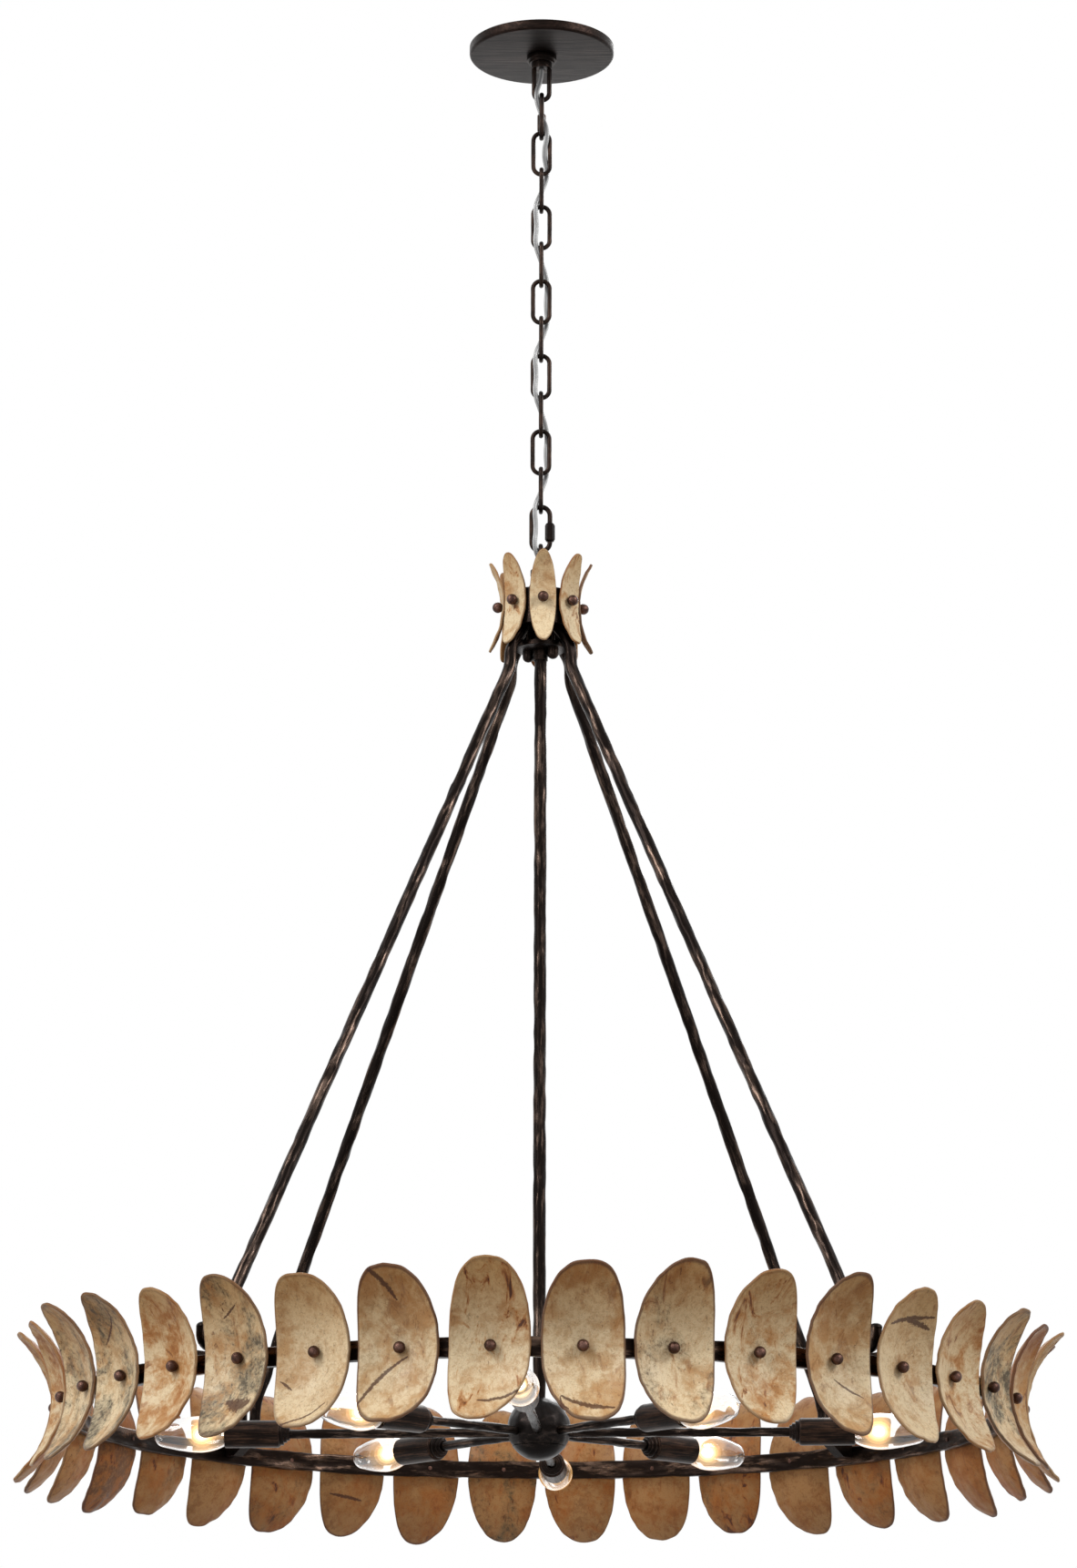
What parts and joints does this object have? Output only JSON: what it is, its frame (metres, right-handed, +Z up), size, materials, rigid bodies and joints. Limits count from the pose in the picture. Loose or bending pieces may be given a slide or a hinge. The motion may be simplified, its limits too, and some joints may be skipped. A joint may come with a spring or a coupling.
{
  "type": "chandelier",
  "caption": "Round chandelier on a chain: a flat bar ring set with oval natural shells, slanted rods from a shell crown, and candle lamps on arms about a ball hub.",
  "frame": {"origin": "on the ceiling plane, at the middle of the mounting strap's top face", "axes": "+Z up, the lamp hangs along -Z; +X along the mounting strap; the side that the picture shows faces -Y"},
  "size_m": [1.0158, 1.01, 1.4998],
  "materials": {
    "smooth_bronze": "satin, dark oil-rubbed bronze, worn to brown at the edges",
    "hammered_bronze": "hammered, dark oil-rubbed bronze with red-brown highlights",
    "natural_shell": "matte, mottled natural shell",
    "clear_glass": "clear",
    "lampholder": "matte",
    "cord": "satin, silver-grey",
    "plated_steel": "zinc plated",
    "earth_screw": "green"
  },
  "bodies": {
    "ceiling_mount": {"mounting_strap": "plated_steel", "ground_screw": "earth_screw", "threaded_nipple": "plated_steel", "nipple_locknuts": "plated_steel", "canopy_loop": "smooth_bronze", "lamp_cord": "cord"},
    "canopy_cover": {"canopy_pan": "smooth_bronze", "screw_collar": "smooth_bronze"},
    "upper_link": {"upper_quick_link": "smooth_bronze"},
    "upper_sleeve": {"upper_link_sleeve": "smooth_bronze"},
    "link_01": {"chain_link_01": "smooth_bronze"},
    "link_02": {"chain_link_02": "smooth_bronze"},
    "link_03": {"chain_link_03": "smooth_bronze"},
    "link_04": {"chain_link_04": "smooth_bronze"},
    "link_05": {"chain_link_05": "smooth_bronze"},
    "link_06": {"chain_link_06": "smooth_bronze"},
    "link_07": {"chain_link_07": "smooth_bronze"},
    "link_08": {"chain_link_08": "smooth_bronze"},
    "link_09": {"chain_link_09": "smooth_bronze"},
    "link_10": {"chain_link_10": "smooth_bronze"},
    "lower_link": {"lower_quick_link": "smooth_bronze"},
    "lower_sleeve": {"lower_link_sleeve": "smooth_bronze"},
    "light_frame": {"crown_loop": "smooth_bronze", "crown_cap": "smooth_bronze", "crown_locknut": "smooth_bronze", "crown_band": "smooth_bronze", "crown_plate": "smooth_bronze", "crown_tie_bolts": "smooth_bronze", "crown_shells": "natural_shell", "crown_rivets": "smooth_bronze", "rod_1": "hammered_bronze", "rod_2": "hammered_bronze", "rod_3": "hammered_bronze", "rod_4": "hammered_bronze", "stem": "hammered_bronze", "stem_collar": "smooth_bronze", "hub_body": "hammered_bronze", "hub_cap": "hammered_bronze", "ring": "hammered_bronze", "ring_rivets": "smooth_bronze", "ring_lugs": "smooth_bronze", "lamp_arms": "hammered_bronze", "arm_collars": "smooth_bronze", "socket_cups": "smooth_bronze", "lampholders": "lampholder", "ring_shells_1": "natural_shell", "ring_shells_2": "natural_shell", "ring_shells_3": "natural_shell", "ring_shells_4": "natural_shell", "ring_shells_5": "natural_shell", "ring_shells_6": "natural_shell"},
    "bulb_1": {"bulb_1": "clear_glass"},
    "bulb_2": {"bulb_2": "clear_glass"},
    "bulb_3": {"bulb_3": "clear_glass"},
    "bulb_4": {"bulb_4": "clear_glass"},
    "bulb_5": {"bulb_5": "clear_glass"},
    "bulb_6": {"bulb_6": "clear_glass"},
    "bulb_7": {"bulb_7": "clear_glass"},
    "bulb_8": {"bulb_8": "clear_glass"}
  },
  "joints": [
    {"name": "cover_drop", "type": "slide", "parent": "ceiling_mount", "child": "canopy_cover", "axis": [0, 0, -1], "range_m": [0, 0.02]},
    {"name": "upper_link_swing", "type": "hinge", "parent": "ceiling_mount", "child": "upper_link", "pos_m": [0, 0, -0.0588], "axis": [1, 0, 0], "range_deg": [-8, 8], "deforming": ["lamp_cord"]},
    {"name": "link_01_swing", "type": "hinge", "parent": "upper_link", "child": "link_01", "pos_m": [0, 0, -0.1005], "axis": [0, 1, 0], "range_deg": [-8, 8]},
    {"name": "link_02_swing", "type": "hinge", "parent": "link_01", "child": "link_02", "pos_m": [0, 0, -0.14095], "axis": [1, 0, 0], "range_deg": [-8, 8]},
    {"name": "link_03_swing", "type": "hinge", "parent": "link_02", "child": "link_03", "pos_m": [0, 0, -0.18155], "axis": [0, 1, 0], "range_deg": [-8, 8]},
    {"name": "link_04_swing", "type": "hinge", "parent": "link_03", "child": "link_04", "pos_m": [0, 0, -0.22215], "axis": [1, 0, 0], "range_deg": [-8, 8]},
    {"name": "link_05_swing", "type": "hinge", "parent": "link_04", "child": "link_05", "pos_m": [0, 0, -0.26275], "axis": [0, 1, 0], "range_deg": [-8, 8]},
    {"name": "link_06_swing", "type": "hinge", "parent": "link_05", "child": "link_06", "pos_m": [0, 0, -0.30335], "axis": [1, 0, 0], "range_deg": [-8, 8]},
    {"name": "link_07_swing", "type": "hinge", "parent": "link_06", "child": "link_07", "pos_m": [0, 0, -0.34395], "axis": [0, 1, 0], "range_deg": [-8, 8]},
    {"name": "link_08_swing", "type": "hinge", "parent": "link_07", "child": "link_08", "pos_m": [0, 0, -0.38455], "axis": [1, 0, 0], "range_deg": [-8, 8]},
    {"name": "link_09_swing", "type": "hinge", "parent": "link_08", "child": "link_09", "pos_m": [0, 0, -0.42515], "axis": [0, 1, 0], "range_deg": [-8, 8]},
    {"name": "link_10_swing", "type": "hinge", "parent": "link_09", "child": "link_10", "pos_m": [0, 0, -0.46575], "axis": [1, 0, 0], "range_deg": [-8, 8]},
    {"name": "lower_link_swing", "type": "hinge", "parent": "link_10", "child": "lower_link", "pos_m": [0, 0, -0.50635], "axis": [0, 1, 0], "range_deg": [-8, 8]},
    {"name": "light_frame_swing", "type": "hinge", "parent": "lower_link", "child": "light_frame", "pos_m": [0, 0, -0.5482], "axis": [1, 0, 0], "range_deg": [-8, 8]},
    {"name": "upper_sleeve_slide", "type": "slide", "parent": "upper_link", "child": "upper_sleeve", "axis": [0, 0, 1], "range_m": [0, 0.008]},
    {"name": "lower_sleeve_slide", "type": "slide", "parent": "lower_link", "child": "lower_sleeve", "axis": [0, 0, 1], "range_m": [0, 0.008]},
    {"name": "bulb_1_pull", "type": "slide", "parent": "light_frame", "child": "bulb_1", "axis": [-0.0523, -0.9986, 0], "range_m": [0, 0.026]},
    {"name": "bulb_2_pull", "type": "slide", "parent": "light_frame", "child": "bulb_2", "axis": [0.6691, -0.7431, 0], "range_m": [0, 0.026]},
    {"name": "bulb_3_pull", "type": "slide", "parent": "light_frame", "child": "bulb_3", "axis": [0.9986, -0.0523, 0], "range_m": [0, 0.026]},
    {"name": "bulb_4_pull", "type": "slide", "parent": "light_frame", "child": "bulb_4", "axis": [0.7431, 0.6691, 0], "range_m": [0, 0.026]},
    {"name": "bulb_5_pull", "type": "slide", "parent": "light_frame", "child": "bulb_5", "axis": [0.0523, 0.9986, 0], "range_m": [0, 0.026]},
    {"name": "bulb_6_pull", "type": "slide", "parent": "light_frame", "child": "bulb_6", "axis": [-0.6691, 0.7431, 0], "range_m": [0, 0.026]},
    {"name": "bulb_7_pull", "type": "slide", "parent": "light_frame", "child": "bulb_7", "axis": [-0.9986, 0.0523, 0], "range_m": [0, 0.026]},
    {"name": "bulb_8_pull", "type": "slide", "parent": "light_frame", "child": "bulb_8", "axis": [-0.7431, -0.6691, 0], "range_m": [0, 0.026]}
  ]
}
